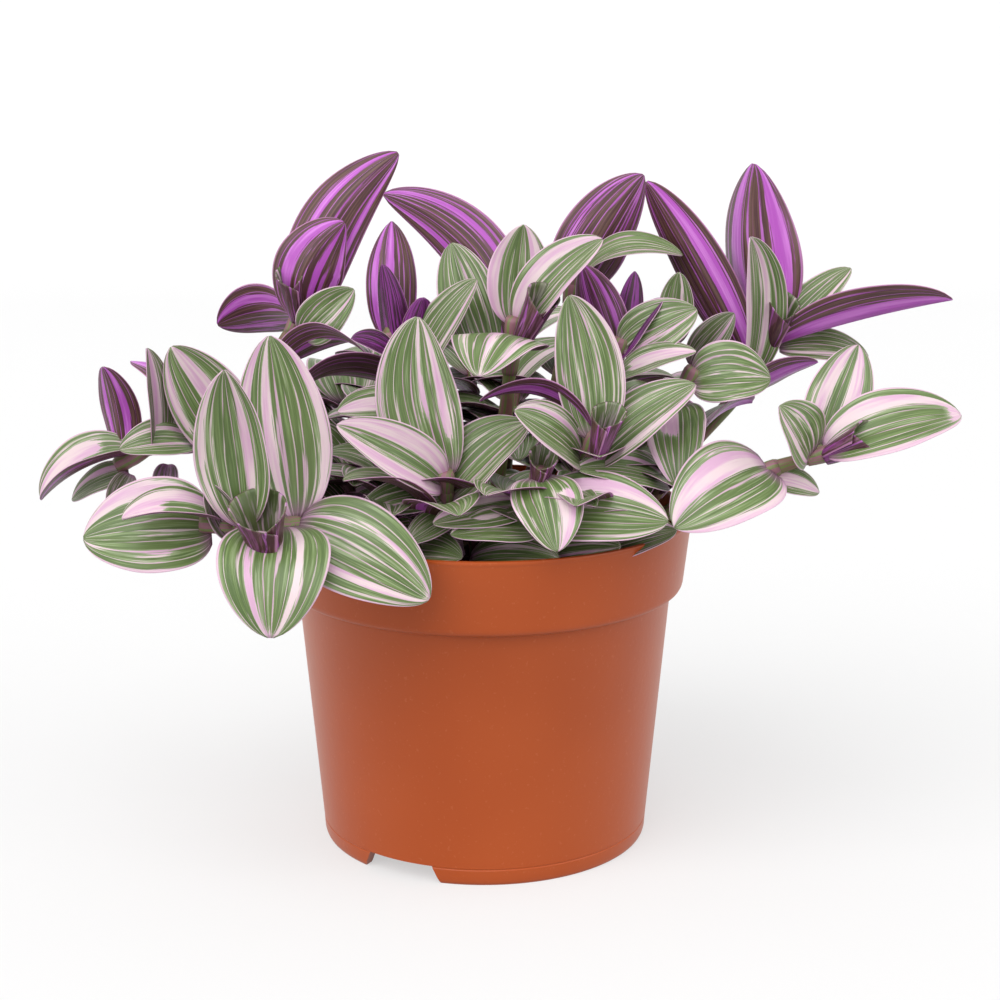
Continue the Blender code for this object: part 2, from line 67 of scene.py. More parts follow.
# Each larger leaf: its stem, where on the stem (in control points), the side it leaves by, tip, which way its
# upper side faces, width, arch, sideways bend, fold of each half, cup of each half, how broad its shoulders are.
LEAVES = {
    "front_left_1": ("front_left", 1.75, (0, 0.3, 1), (-61, -45, 166), (0.05, -1, 0.15), 28, -0.06,
        0, 8, 12, 0.6),
    "front_left_2": ("front_left", 2.46, (0, -1, 0.3), (-71, -67, 160), (-0.2, -1, 0.1), 26, -0.05,
        0, 28, 10, 0.65),
    "front_left_3": ("front_left", 2.0, (0.2, -1, 0), (-58, -87, 89), (0, -0.85, 0.5), 32, 0.22, 0,
        5, 10, 0.6),
    "front_left_4": ("front_left", 1.8, (0.5, -0.8, 0), (-15, -73, 96), (0.15, -0.8, 0.6), 30, 0.12,
        0, 5, 10, 0.5),
    "front_left_5": ("front_left", 3.0, (-1, 0, 0), (-113, -63, 111), (0.05, -0.75, 0.65), 31, 0.08,
        0, 5, 8, 0.5),
    "front_left_6": ("front_left", 2.9, (-0.5, -0.5, 0.7), (-100, -73, 119), (0.1, -0.35, 0.9), 16,
        0.1, 0, 30, 10, 0.6),
    "far_left_1": ("far_left", 3.6, (-0.3, -0.6, 0.7), (-139, 1, 107), (-0.35, -0.35, 0.85), 22,
        0.1, 0, 38, 0, 0.6),
    "far_left_2": ("far_left", 3.9, (0, 0.5, 1), (-118, 2, 149), (0.3, 0.95, 0.1), 15, 0.06, 0, 20,
        10, 0.6),
    "far_left_3": ("far_left", 2.6, (0, 0.6, 1), (-111, 12, 149), (-0.6, 0.25, -0.7), 19, -0.38, 0,
        5, 10, 0.7),
    "far_left_4": ("far_left", 2.3, (0, -1, 0.2), (-112, -8, 125), (-0.2, -0.8, 0.55), 14, 0.18, 0,
        10, 10, 0.6),
    "far_left_5": ("far_left", 1.5, (0, -1, 0.3), (-96, -2, 156), (-0.1, -0.97, 0.25), 25, 0, 0, 8,
        10, 0.6),
    "upper_left_1": ("upper_left", 2.9, (0.8, 0.6, 0), (-27, 24, 213), (0.3, 0.95, 0), 24, -0.06,
        0.12, 15, 10, 0.55),
    "upper_left_2": ("upper_left", 3.0, (0.2, -1, 0), (-43, 8, 193), (0.25, 0.95, 0.15), 24, -0.1,
        0.12, 15, 10, 0.62),
    "upper_left_3": ("upper_left", 3.0, (-1, 0.1, 0), (-85, 23, 159), (-0.1, 0.9, 0.4), 20, 0.15, 0,
        5, 10, 0.68),
    "upper_left_4": ("upper_left", 2.0, (0.3, -0.9, 0), (-35, -12, 155), (0, 0.6, 0.8), 17, 0.18, 0,
        8, 10, 0.55),
    "mid_left_1": ("mid_left", 1.9, (0, 1, 0.2), (-29, 20, 192), (0, 0.95, -0.1), 17, -0.1, 0, 15, 10, 0.6),
    "crown_1": ("crown", 2.0, (0.2, 1, 0), (12, -9, 194), (0, -0.97, 0.2), 21, -0.05, 0, 18, 10, 0.6),
    "crown_2": ("crown", 2.0, (1, -0.2, 0), (35, -22, 191), (-0.45, -0.7, 0.55), 20, 0.1, 0, 18, 10, 0.6),
    "crown_3": ("crown", 1.85, (-0.2, -1, 0), (-1, -49, 155), (-0.05, -0.35, 0.93), 29, 0.22, 0, -5,
        -5, 0.4),
    "crown_4": ("crown", 1.7, (-0.4, 1, 0), (-31, 14, 201), (-0.1, 0.85, 0.45), 22, 0.06, -0.16, 5,
        10, 0.55),
    "front_centre_1": ("front_centre", 1.95, (0, 1, 0), (-19, -35, 170), (0, -0.98, 0.15), 25,
        -0.03, -0.09, 6, 10, 0.6),
    "front_centre_2": ("front_centre", 2.0, (-0.5, -0.8, 0.2), (-41, -60, 143), (-0.1, -0.75, 0.6),
        19, 0.06, 0, 22, 10, 0.5),
    "front_centre_3": ("front_centre", 1.6, (0.7, 0.8, 0), (13, -37, 139), (-0.4, -0.75, 0.55), 22,
        0.1, 0, 20, 10, 0.5),
    "front_right_1": ("front_right", 2.0, (0, 1, 0), (25, -33, 176), (0.05, -0.98, 0.15), 21, -0.04,
        0.05, 10, 10, 0.6),
    "front_right_2": ("front_right", 1.7, (-0.9, -0.6, 0), (9, -55, 146), (0.1, -0.7, 0.7), 18,
        0.08, 0, 8, 10, 0.65),
    "front_right_3": ("front_right", 1.6, (0.95, 0.2, 0), (62, -34, 150), (-0.2, -0.6, 0.75), 19,
        0.1, 0, 5, 10, 0.65),
    "centre_right_1": ("centre_right", 2.0, (0.5, -0.8, 0), (64, -13, 169), (-0.15, -0.8, 0.6), 19,
        0.08, 0, 5, 10, 0.5),
    "back_centre_1": ("back_centre", 1.9, (0, 1, 0), (50, 26, 206), (0, 0.97, 0.15), 24, -0.05,
        0.05, 10, 10, 0.45),
    "back_centre_2": ("back_centre", 2.0, (0.8, -0.4, 0.3), (61, 6, 183), (0, -0.4, 0.9), 16, 0.2,
        0, 10, 10, 0.5),
    "low_front_1": ("low_front", 2.0, (0, -1, 0.2), (21, -70, 109), (0.1, -0.75, 0.65), 21, 0.12, 0,
        5, 10, 0.5),
    "low_front_2": ("low_front", 1.45, (-1, -0.3, 0), (-14, -62, 115), (0, -0.7, 0.7), 13, 0.04, 0,
        5, 10, 0.5),
    "low_front_3": ("low_front", 1.4, (0.9, -0.6, 0), (53, -55, 114), (0, -0.65, 0.75), 26, 0.08, 0,
        5, 5, 0.5),
    "low_right_1": ("low_right", 2.0, (-0.3, -0.8, 0.3), (55, -55, 112), (-0.15, -0.75, 0.65), 29,
        0.12, 0, 5, 10, 0.5),
    "low_right_2": ("low_right", 3.04, (0, -1, 0.3), (140, -34, 141), (-0.15, -0.65, 0.75), 24, 0.1,
        0, 12, 10, 0.6),
    "low_right_3": ("low_right", 2.95, (0.4, 0.9, 0.2), (112, -18, 159), (-0.15, -0.95, 0.15), 20,
        -0.02, 0, 10, 10, 0.6),
    "right_1": ("right", 3.0, (0, 0.8, 0.3), (82, 6, 211), (0.5, 0.85, 0.1), 34, -0.05, 0.06, 35, 10, 0.6),
    "right_2": ("right", 3.0, (1, 0.3, 0), (139, -20, 173), (-0.15, 0.5, 0.85), 24, 0.02, 0, 30, 0, 0.8),
    "right_3": ("right", 2.35, (-0.4, -1, 0), (79, -16, 191), (0.55, -0.8, 0), 19, 0, 0.08, 22, 10, 0.65),
    "right_4": ("right", 2.5, (-0.8, 0.2, 0), (50, 13, 205), (0.35, 0.9, 0.25), 19, 0.03, 0, 15, 10, 0.7),
    "mid_right_1": ("mid_right", 2.0, (0.5, -0.6, 0.3), (86, -18, 149), (-0.15, -0.75, 0.65), 22,
        0.15, 0, 5, 10, 0.5),
    "mid_right_2": ("mid_right", 1.6, (-0.5, -0.9, 0), (57, -42, 121), (-0.1, -0.85, 0.5), 19, 0.15,
        0, 5, 10, 0.45),
    "back_left_1": ("back_left", 2.0, (-0.5, 0.8, 0), (-62, 84, 112), (-0.2, 0.5, 0.8), 27, 0.15, 0,
        8, 10, 0.5),
    "back_right_1": ("back_right", 2.0, (0.6, 0.7, 0), (76, 82, 112), (0.2, 0.5, 0.8), 27, 0.15, 0,
        8, 10, 0.5),
}

# Where each larger leaf is pale: bands of (middle across, half width, from, to along the leaf, strength).
# Across runs from -1 to 1 and along from 0 at the base to 1 at the tip.
PALE = {
    "front_left_1": [(-0.3, 0.12, 0, 1, 1), (-0.8, 0.14, 0.2, 1, 1), (0.85, 0.14, 0, 1, 1)],
    "front_left_2": [(0.33, 0.17, 0.1, 1, 1), (-0.85, 0.12, 0, 1, 1)],
    "front_left_3": [(-0.42, 0.12, 0, 1, 1), (0.4, 0.13, 0, 1, 1), (0, 0.9, 0.93, 1, 1)],
    "front_left_4": [(-0.5, 0.1, 0, 1, 1), (0.06, 0.07, 0.1, 1, 1), (0.55, 0.12, 0, 1, 1),
        (0, 0.9, 0.93, 1, 1)],
    "front_left_5": [(0.75, 0.24, 0.1, 1, 1), (-0.1, 0.06, 0, 0.9, 0.8), (-0.6, 0.06, 0.2, 1, 0.8)],
    "front_left_6": [(0, 0.9, 0.5, 1, 0.7), (0.6, 0.25, 0, 1, 1)],
    "far_left_1": [(0.45, 0.3, 0.2, 1, 1), (-0.6, 0.15, 0.3, 1, 1)],
    "far_left_2": [(-0.4, 0.16, 0, 1, 1), (0.45, 0.16, 0, 1, 1)],
    "far_left_3": [(0.1, 0.5, 0, 1, 0.9)],
    "far_left_4": [(0.5, 0.1, 0, 1, 1), (-0.3, 0.05, 0, 1, 0.8)],
    "far_left_5": [(0.1, 0.3, 0.4, 1, 1), (-0.8, 0.15, 0.3, 1, 0.8)],
    "upper_left_1": [(-0.7, 0.1, 0, 1, 1), (-0.1, 0.07, 0.1, 1, 1), (0.45, 0.09, 0, 1, 1)],
    "upper_left_2": [(0.5, 0.2, 0, 1, 1), (-0.3, 0.1, 0.1, 1, 1), (-0.8, 0.12, 0.2, 1, 1)],
    "upper_left_3": [(-0.5, 0.18, 0, 1, 1), (0.6, 0.1, 0, 1, 1)],
    "upper_left_4": [(0, 0.15, 0, 1, 1), (-0.7, 0.15, 0, 1, 1)],
    "mid_left_1": [(0.05, 0.16, 0, 1, 1), (0.65, 0.15, 0, 1, 1)],
    "crown_1": [(-0.8, 0.2, 0, 1, 1), (0.55, 0.25, 0.4, 1, 1)],
    "crown_2": [(-0.6, 0.25, 0, 1, 1), (0.9, 0.1, 0, 1, 1)],
    "crown_3": [(-0.72, 0.06, 0, 1, 1), (-0.36, 0.05, 0, 1, 1), (0, 0.05, 0, 1, 1), (0.36, 0.05, 0, 1, 1)]
    + [(0.72, 0.06, 0, 1, 1), (0, 0.9, 0.93, 1, 1)],
    "crown_4": [(-0.55, 0.15, 0, 1, 1), (0.6, 0.12, 0.1, 1, 1), (0.1, 0.05, 0, 1, 0.8)],
    "front_centre_1": [(0.12, 0.09, 0.3, 1, 1), (0.6, 0.12, 0.15, 1, 1), (-0.88, 0.1, 0, 1, 0.8)],
    "front_centre_2": [(-0.62, 0.4, 0, 1, 1), (0.6, 0.36, 0, 1, 1)],
    "front_centre_3": [(0.5, 0.08, 0, 1, 1), (-0.5, 0.08, 0, 1, 1)],
    "front_right_1": [(-0.5, 0.04, 0, 1, 0.9), (0.3, 0.04, 0, 1, 0.9), (0.92, 0.08, 0, 1, 0.8)],
    "front_right_2": [(0.6, 0.1, 0, 1, 1), (-0.9, 0.1, 0, 1, 1)],
    "front_right_3": [(-0.4, 0.07, 0, 1, 1), (0.75, 0.12, 0, 1, 1)],
    "centre_right_1": [(0.3, 0.05, 0, 1, 0.8), (-0.4, 0.05, 0, 1, 0.8)],
    "back_centre_1": [(-0.5, 0.08, 0, 1, 1), (0.1, 0.05, 0, 1, 1), (0.66, 0.09, 0, 1, 1)],
    "back_centre_2": [(0.5, 0.1, 0, 1, 1)],
    "low_front_1": [(-0.55, 0.32, 0.25, 1, 1), (0.9, 0.08, 0, 1, 0.8)],
    "low_front_2": [(0.6, 0.25, 0, 1, 1)],
    "low_front_3": [(-0.62, 0.25, 0, 1, 1)],
    "low_right_1": [(0.45, 0.35, 0, 1, 1), (-0.9, 0.1, 0, 1, 1)],
    "low_right_2": [(-0.6, 0.22, 0, 1, 1), (0.9, 0.12, 0, 1, 1), (0, 0.9, 0.86, 1, 1)],
    "low_right_3": [(-0.5, 0.26, 0, 1, 1), (0.4, 0.24, 0, 1, 1)],
    "right_1": [(0.42, 0.22, 0, 1, 1), (-0.62, 0.18, 0, 1, 1)],
    "right_2": [(0, 0.5, 0, 1, 1)],
    "right_3": [(-0.8, 0.22, 0, 1, 1), (0.3, 0.1, 0, 1, 1)],
    "right_4": [(-0.5, 0.28, 0, 1, 1), (0.7, 0.05, 0, 1, 0.8)],
    "mid_right_1": [(0, 0.03, 0, 1, 0.8), (0.5, 0.04, 0, 1, 0.8), (-0.5, 0.04, 0, 1, 0.8)],
    "mid_right_2": [(0.2, 0.35, 0, 0.55, 1), (0.85, 0.12, 0, 1, 1)],
    "back_left_1": [(-0.5, 0.12, 0, 1, 1), (0.4, 0.16, 0, 1, 1)],
    "back_right_1": [(0.6, 0.25, 0, 1, 1), (-0.3, 0.06, 0, 1, 1)],
}

# Smaller and young leaves: base, tip, which way the upper side faces, width, arch, bend, fold, cup, shoulder,
# how young (deep violet) the leaf is, and its pale bands.
SMALL_LEAVES = {
    "rim_1": ((-28, -40, 100), (-6, -59, 104), (0, -0.6, 0.8), 18, 0.08, 0, 5, 10, 0.5, 0,
        [(0.4, 0.1, 0, 1, 1)]),
    "rim_2": ((-4, -44, 99), (22, -57, 103), (0, -0.6, 0.8), 18, 0.08, 0, 5, 10, 0.5, 0,
        [(-0.4, 0.1, 0, 1, 1)]),
    "rim_3": ((14, -44, 100), (40, -49, 105), (0, -0.6, 0.8), 17, 0.08, 0, 5, 10, 0.5, 0,
        [(0.3, 0.08, 0, 1, 1)]),
    "rim_4": ((-6, -42, 103), (-34, -49, 106), (0, -0.6, 0.8), 17, 0.08, 0, 5, 10, 0.5, 0,
        [(0.1, 0.08, 0, 1, 1)]),
    "rim_5": ((30, -40, 101), (57, -38, 107), (0, -0.6, 0.8), 17, 0.08, 0, 5, 10, 0.5, 0,
        [(-0.6, 0.15, 0, 1, 1)]),
    "rim_6": ((-30, -34, 101), (-48, -44, 106), (0, -0.6, 0.8), 16, 0.08, 0, 5, 10, 0.5, 0,
        [(0.5, 0.1, 0, 1, 1)]),
    "wing_front_left": ((-70, -62, 111), (-77, -66, 128), (0, -1, 0.2), 10, 0, 0, 20, 10, 0.5, 0.5, []),
    "low_right_back": ((95, -40, 130), (85, -47, 146), (0.3, -0.75, 0.55), 20, 0.1, 0, 8, 10, 0.5, 0,
                       [(-0.5, 0.08, 0, 1, 1), (0.4, 0.08, 0, 1, 1)]),
    "low_right_under": ((84, -38, 123), (99, -36, 118), (0, -0.7, 0.7), 10, 0.1, 0, 5, 10, 0.5, 0,
                        [(0, 0.6, 0, 1, 1)]),
    "front_right_low": ((54, -32, 120), (27, -45, 127), (0, -0.6, 0.8), 16, 0.1, 0, 8, 10, 0.5, 0,
                        [(0.5, 0.1, 0, 1, 1)]),
    "front_arch": ((31, -37, 137), (-1, -39, 146), (0, 0.45, 0.9), 16, 0.2, 0, 12, 10, 0.6, 0.2,
                   [(-0.4, 0.2, 0, 1, 1), (0.5, 0.2, 0, 1, 1)]),
    "low_front_left": ((14, -54, 111), (-9, -63, 112), (0, -0.6, 0.8), 14, 0.1, 0, 5, 10, 0.5, 0,
                       [(0.5, 0.15, 0, 1, 1)]),
    "centre_low_1": ((-12, -43, 119), (-36, -53, 116), (0, -0.7, 0.7), 13, 0.1, 0, 5, 10, 0.5, 0,
                     [(-0.3, 0.1, 0, 1, 1)]),
    "centre_low_2": ((-9, -48, 114), (-22, -58, 108), (0, -0.7, 0.7), 10, 0.1, 0, 5, 10, 0.5, 0, []),
    "centre_pink": ((-22, -20, 140), (-43, -31, 141), (-0.1, -0.6, 0.8), 15, 0.1, 0, 5, 10, 0.5, 0,
                    [(0, 0.5, 0.2, 1, 1)]),
    "crown_back": ((2, -8, 152), (-10, 4, 187), (-0.1, -0.95, 0.2), 20, 0.02, 0, 8, 10, 0.6, 0,
                   [(0.3, 0.06, 0, 1, 1), (-0.4, 0.06, 0, 1, 1)]),
    "young_1": ((-27, 0, 152), (-31, 0, 181), (0.3, 0.9, 0), 12, 0, 0, 25, 20, 0.6, 1, []),
    "young_2": ((-27, -3, 152), (-40, -12, 160), (-0.2, -0.6, 0.7), 11, 0.1, 0, 15, 10, 0.6, 1, []),
    "young_3": ((-23, -4, 150), (-18, -9, 172), (0.1, 0.9, 0.2), 12, 0.05, 0, 20, 20, 0.6, 1, []),
    "mid_left_right": ((-20, -3, 148), (-2, -13, 178), (-0.35, -0.75, 0.55), 15, 0.08, 0, 8, 10, 0.6, 0,
                       [(0.6, 0.12, 0, 1, 1)]),
    "mid_left_arch": ((-24, -4, 144), (-61, -24, 139), (-0.1, 0.5, 0.85), 21, 0.22, 0, 8, 10, 0.6, 0.3,
                      [(0.5, 0.15, 0, 1, 1)]),
    "upper_left_small": ((-56, 7, 158), (-40, 3, 173), (0, -0.9, 0.3), 15, 0.05, 0, 8, 10, 0.5, 0,
                         [(0.3, 0.08, 0, 1, 1)]),
    "far_left_edge": ((-102, -3, 124), (-103, -5, 156), (0.9, -0.5, 0), 14, 0.04, 0, 20, 10, 0.6, 0.2,
                      [(0, 0.4, 0, 1, 1)]),
    "far_left_low": ((-112, 5, 115), (-131, 9, 105), (0, -0.6, 0.8), 12, 0.1, 0, 8, 10, 0.5, 0,
                     [(0.5, 0.2, 0, 1, 1)]),
    "far_left_pale": ((-86, 8, 125), (-104, 11, 122), (0, -0.7, 0.6), 12, 0.12, 0, 5, 10, 0.5, 0,
                      [(0, 0.5, 0, 1, 1)]),
    "far_left_drop_1": ((-99, 2, 118), (-100, -2, 106), (0, -0.9, 0.2), 9, 0.1, 0, 20, 10, 0.5, 0.7, []),
    "far_left_drop_2": ((-111, 2, 115), (-117, 0, 103), (0, -0.9, 0.2), 9, 0.1, 0, 20, 10, 0.5, 0.4, []),
    "centre_right_back": ((40, -8, 154), (30, -2, 181), (0.3, 0.95, 0.1), 16, 0, 0, 12, 10, 0.6, 0.3,
                          [(0.4, 0.12, 0, 1, 1), (-0.5, 0.12, 0, 1, 1)]),
    "centre_right_young_1": ((42, -8, 155), (46, -1, 179), (0.2, 0.9, 0), 10, 0, 0, 20, 20, 0.6, 1, []),
    "centre_right_young_2": ((41, -12, 154), (54, -10, 172), (-0.3, -0.5, 0.7), 10, 0.05, 0, 15, 10,
        0.6, 1, []),
    "centre_right_front": ((41, -18, 150), (63, -24, 158), (-0.2, -0.5, 0.8), 12, 0.1, 0, 5, 10, 0.5, 0,
                           [(0, 0.5, 0.1, 1, 1)]),
    "right_inner_1": ((58, 3, 156), (60, 5, 178), (0, -0.9, 0.1), 12, 0, 0, 12, 10, 0.6, 0,
                      [(0.3, 0.12, 0, 1, 1)]),
    "right_inner_2": ((64, -2, 150), (76, -7, 167), (-0.3, -0.8, 0.3), 12, 0.05, 0, 12, 10, 0.6, 0.2,
                      [(0.3, 0.12, 0, 1, 1)]),
    "right_under_1": ((80, -5, 141), (102, -6, 152), (0, 0.6, 0.8), 14, 0.05, 0, 12, 10, 0.6, 0.2,
                      [(0, 0.5, 0, 1, 1)]),
    "right_under_2": ((82, -7, 140), (65, -20, 132), (-0.1, 0.4, 0.9), 15, 0.1, 0, 12, 10, 0.6, 0.2,
                      [(0, 0.5, 0, 1, 1)]),
    "right_outer_1": ((91, 2, 158), (113, 6, 179), (-0.3, -0.7, 0.5), 13, 0.05, 0, 15, 10, 0.6, 0,
                      [(0.5, 0.12, 0, 1, 1)]),
    "right_outer_2": ((91, 1, 155), (119, 4, 152), (0, -0.7, 0.7), 13, 0.1, 0, 10, 10, 0.6, 0,
                      [(0.5, 0.15, 0, 1, 1)]),
    "back_left_2": ((-38, 61, 121), (-20, 82, 138), (0.1, 0.6, 0.7), 24, 0.12, 0, 8, 10, 0.5, 0,
                    [(0.4, 0.15, 0, 1, 1)]),
    "back_left_3": ((-36, 58, 119), (-66, 50, 136), (-0.5, 0.3, 0.8), 24, 0.12, 0, 8, 10, 0.5, 0,
                    [(-0.4, 0.15, 0, 1, 1)]),
    "back_left_4": ((-33, 54, 114), (-14, 42, 134), (0.3, -0.3, 0.9), 20, 0.12, 0, 8, 10, 0.5, 0, []),
    "back_right_2": ((43, 63, 119), (26, 84, 136), (-0.1, 0.6, 0.7), 24, 0.12, 0, 8, 10, 0.5, 0,
                     [(0.4, 0.15, 0, 1, 1)]),
    "back_right_3": ((41, 60, 118), (72, 52, 134), (0.5, 0.3, 0.8), 24, 0.12, 0, 8, 10, 0.5, 0,
                     [(-0.4, 0.15, 0, 1, 1)]),
    "back_right_4": ((37, 56, 114), (20, 42, 132), (-0.3, -0.3, 0.9), 20, 0.12, 0, 8, 10, 0.5, 0, []),
}

# Leaves still rolled up at the middle of a shoot: foot, top, side where the roll's edges meet, radius at its
# foot and at its mouth.
ROLLED_LEAVES = {
    "front_left": ((-60, -70, 106), (-62, -75, 125), (0.25, -1, 0.2), 3.2, 7.0),
    "low_right": ((100, -38, 129), (115, -42, 137), (0.2, -0.8, 0.8), 2.2, 4.4),
    "front_right": ((33, -46, 131), (37, -48, 146), (-0.3, -1, 0.2), 2.2, 4.2),
    "crown": ((11, -22, 160), (19, -26, 177), (0.3, -1, 0.3), 2.4, 4.4),
    "centre": ((-26, -32, 122), (-31, -38, 137), (-0.6, -0.8, 0.3), 2.6, 5.2),
    "low_front": ((16, -50, 124), (18, -54, 134), (0, -1, 0.3), 2.0, 3.6),
    "upper_left": ((-58, 12, 162), (-60, 8, 180), (0, -1, 0.2), 2.2, 4.0),
    "right": ((88, -1, 156), (92, -6, 172), (0.3, -1, 0.3), 2.2, 4.4),
}

# Leaves
STEM_R = 2.4
LEAF_THICK = 0.5
TIP_TAPER = 0.64
SHOULDER_SHARE = 0.85
BASE_TRIM = 0.02
TIP_TRIM = 0.004
LEAF_ROWS = 32
LEAF_HALF_COLUMNS = 8
ROW_CROWDING = 0.16
COLUMN_CROWDING = 1.25
GROOVE_DEPTH = 0.28
GROOVE_WIDTH = 0.09
RIPPLE = 0.35
RIPPLES = 9.0
EDGE_THINNING = 0.75
MIDRIB_SWELL = 0.8
MIDRIB_WIDTH = 0.2
BAND_SHARE = 0.8
BAND_FEATHER = 0.1
BAND_END_FEATHER = 0.14

# Leaves still rolled up
ROLL_LAP = 1.12
ROLL_SPIRAL = 0.5
ROLL_FRONT_DROP = 0.42
ROLL_FLARE = 0.18

# Sleeves at the leaf bases: (height along the stem, radius beyond the stem's)
SLEEVE = ((-4.5, -0.05), (-2.5, 0.2), (0.0, 0.4), (2.0, 0.35), (3.2, -0.1))

# Low shoots that fill the plant between the named stems
FILL_SHOOTS = 28
GOLDEN_ANGLE = math.radians(137.5)
FILL_INNER_R = 12.0
FILL_OUTER_R = 50.0
FILL_STEM_R = 1.9
FILL_LEAVES = 4
FILL_LOWEST_TIP = 107

# Pot
POT_STEPS = 160
POT_HEIGHT = 104.5
BAND_FOOT = 80.9
RIM_R = 65.0
BAND_FOOT_R = 62.2
BODY_TOP_R = 58.6
BODY_FOOT_R = 51.6
FOOT_R = 50.9
WALL = 1.5
FLOOR_UNDER = 6.2
FLOOR_TOP = 8.0
NOTCH_HEIGHT = 5.5
NOTCH_TOP = 22.0
NOTCH_FOOT = 27.0
NOTCH_ANGLES = (-120.0, 60.0)
DRAIN_R = 3.5
DRAIN_CIRCLE_R = 33.0
DRAIN_COUNT = 6

# Soil
CRUMBS = 420
SOIL_TOP = 94.6
SOIL_R = 59.0
ROOTS = 16

# Colours, as 0-255 screen values
LEAF_GREENS = ((82, 104, 56), (118, 140, 86))
LEAF_OLIVE = (92, 112, 60)
LEAF_SAGE = (150, 164, 126)
LEAF_PALES = ((222, 200, 204), (210, 166, 196))
LEAF_MARGIN = (222, 186, 206)
UNDER_DARKS = ((74, 40, 46), (102, 74, 60))
UNDER_PLUM = (118, 58, 104)
UNDER_VIOLETS = ((178, 80, 186), (206, 122, 212))
UNDER_MARGIN = (190, 128, 176)
YOUNG_COLOURS = ((62, 26, 48), (136, 52, 140))
LEAF_BASE = (150, 82, 140)
STEM_COLOURS = ((104, 118, 62), (128, 86, 84))
SLEEVE_COLOURS = ((116, 128, 76), (146, 100, 112))
POT_COLOURS = ((174, 76, 27), (180, 81, 32))
POT_SPECK = (206, 124, 84)
SOIL_COLOURS = ((44, 30, 22), (96, 70, 48))
ROOT_COLOURS = ((122, 88, 52), (176, 138, 92))
FLOOR_GREYS = ((0.35, 0.35, 0.35, 1), (0.36, 0.36, 0.36, 1))

# Light and camera
CAMERA_AT = (0.0049, -0.629, 0.257)
CAMERA_TILT = 13.4
LENS = 74.3
SKY = 0.9
KEY = 1.4
SIDE = 0.65
FLOOR_GLOW = 0.53


def chance(number, salt=0.0):
    """A fixed value from 0 to 1 for each number."""
    return (math.sin(number * 12.9898 + salt * 78.233) * 43758.5453) % 1.0


def linear(colour):
    """A colour given as 0-255 screen values, as Blender's linear colour."""
    out = []
    for value in colour:
        value /= 255
        out.append(value / 12.92 if value <= 0.04045 else ((value + 0.055) / 1.055) ** 2.4)
    return (*out, 1.0)


class Tree:
    """A short way to write a material's nodes."""

    def __init__(self, name, roughness, specular=0.5):
        self.material = bpy.data.materials.new(name)
        self.material.use_nodes = True
        self.nodes = self.material.node_tree.nodes
        self.links = self.material.node_tree.links
        self.shader = self.nodes["Principled BSDF"]
        self.shader.inputs["Roughness"].default_value = roughness
        self.shader.inputs["Specular IOR Level"].default_value = specular

    def put(self, socket, value):
        if isinstance(value, bpy.types.NodeSocket):
            self.links.new(value, socket)
        else:
            socket.default_value = value

    def attribute(self, name):
        node = self.nodes.new("ShaderNodeAttribute")
        node.attribute_name = name
        return node.outputs["Fac"]

    def math(self, operation, first, second=0.0):
        node = self.nodes.new("ShaderNodeMath")
        node.operation = operation
        self.put(node.inputs[0], first)
        self.put(node.inputs[1], second)
        return node.outputs[0]

    def step(self, value, low, high):
        """0 below low, 1 above high, smooth between them."""
        node = self.nodes.new("ShaderNodeMapRange")
        node.interpolation_type = "SMOOTHSTEP"
        self.put(node.inputs["Value"], value)
        node.inputs["From Min"].default_value = low
        node.inputs["From Max"].default_value = high
        return node.outputs[0]

    def vector(self, x, y, z):
        node = self.nodes.new("ShaderNodeCombineXYZ")
        for socket, value in zip(node.inputs, (x, y, z)):
            self.put(socket, value)
        return node.outputs[0]

    def place(self):
        return self.nodes.new("ShaderNodeTexCoord").outputs["Object"]

    def noise(self, vector, scale=1.0, detail=2.0, roughness=0.5):
        node = self.nodes.new("ShaderNodeTexNoise")
        self.put(node.inputs["Vector"], vector)
        node.inputs["Scale"].default_value = scale
        node.inputs["Detail"].default_value = detail
        node.inputs["Roughness"].default_value = roughness
        return node.outputs["Fac"]

    def mix(self, factor, first, second):
        node = self.nodes.new("ShaderNodeMix")
        node.data_type = "RGBA"
        self.put(node.inputs[0], factor)
        self.put(node.inputs[6], first)
        self.put(node.inputs[7], second)
        return node.outputs[2]

    def blend(self, factor, colours):
        """Between the two screen colours."""
        return self.mix(factor, linear(colours[0]), linear(colours[1]))

    def bump(self, height, strength, distance):
        node = self.nodes.new("ShaderNodeBump")
        node.inputs["Strength"].default_value = strength
        node.inputs["Distance"].default_value = distance
        self.put(node.inputs["Height"], height)
        self.links.new(node.outputs["Normal"], self.shader.inputs["Normal"])


def stretched(t, across, along, seed, columns, rows):
    """A place in a pattern that runs along the leaf: this many waves across it and along it."""
    return t.vector(t.math("MULTIPLY", across, columns), t.math("MULTIPLY", along, rows), seed)


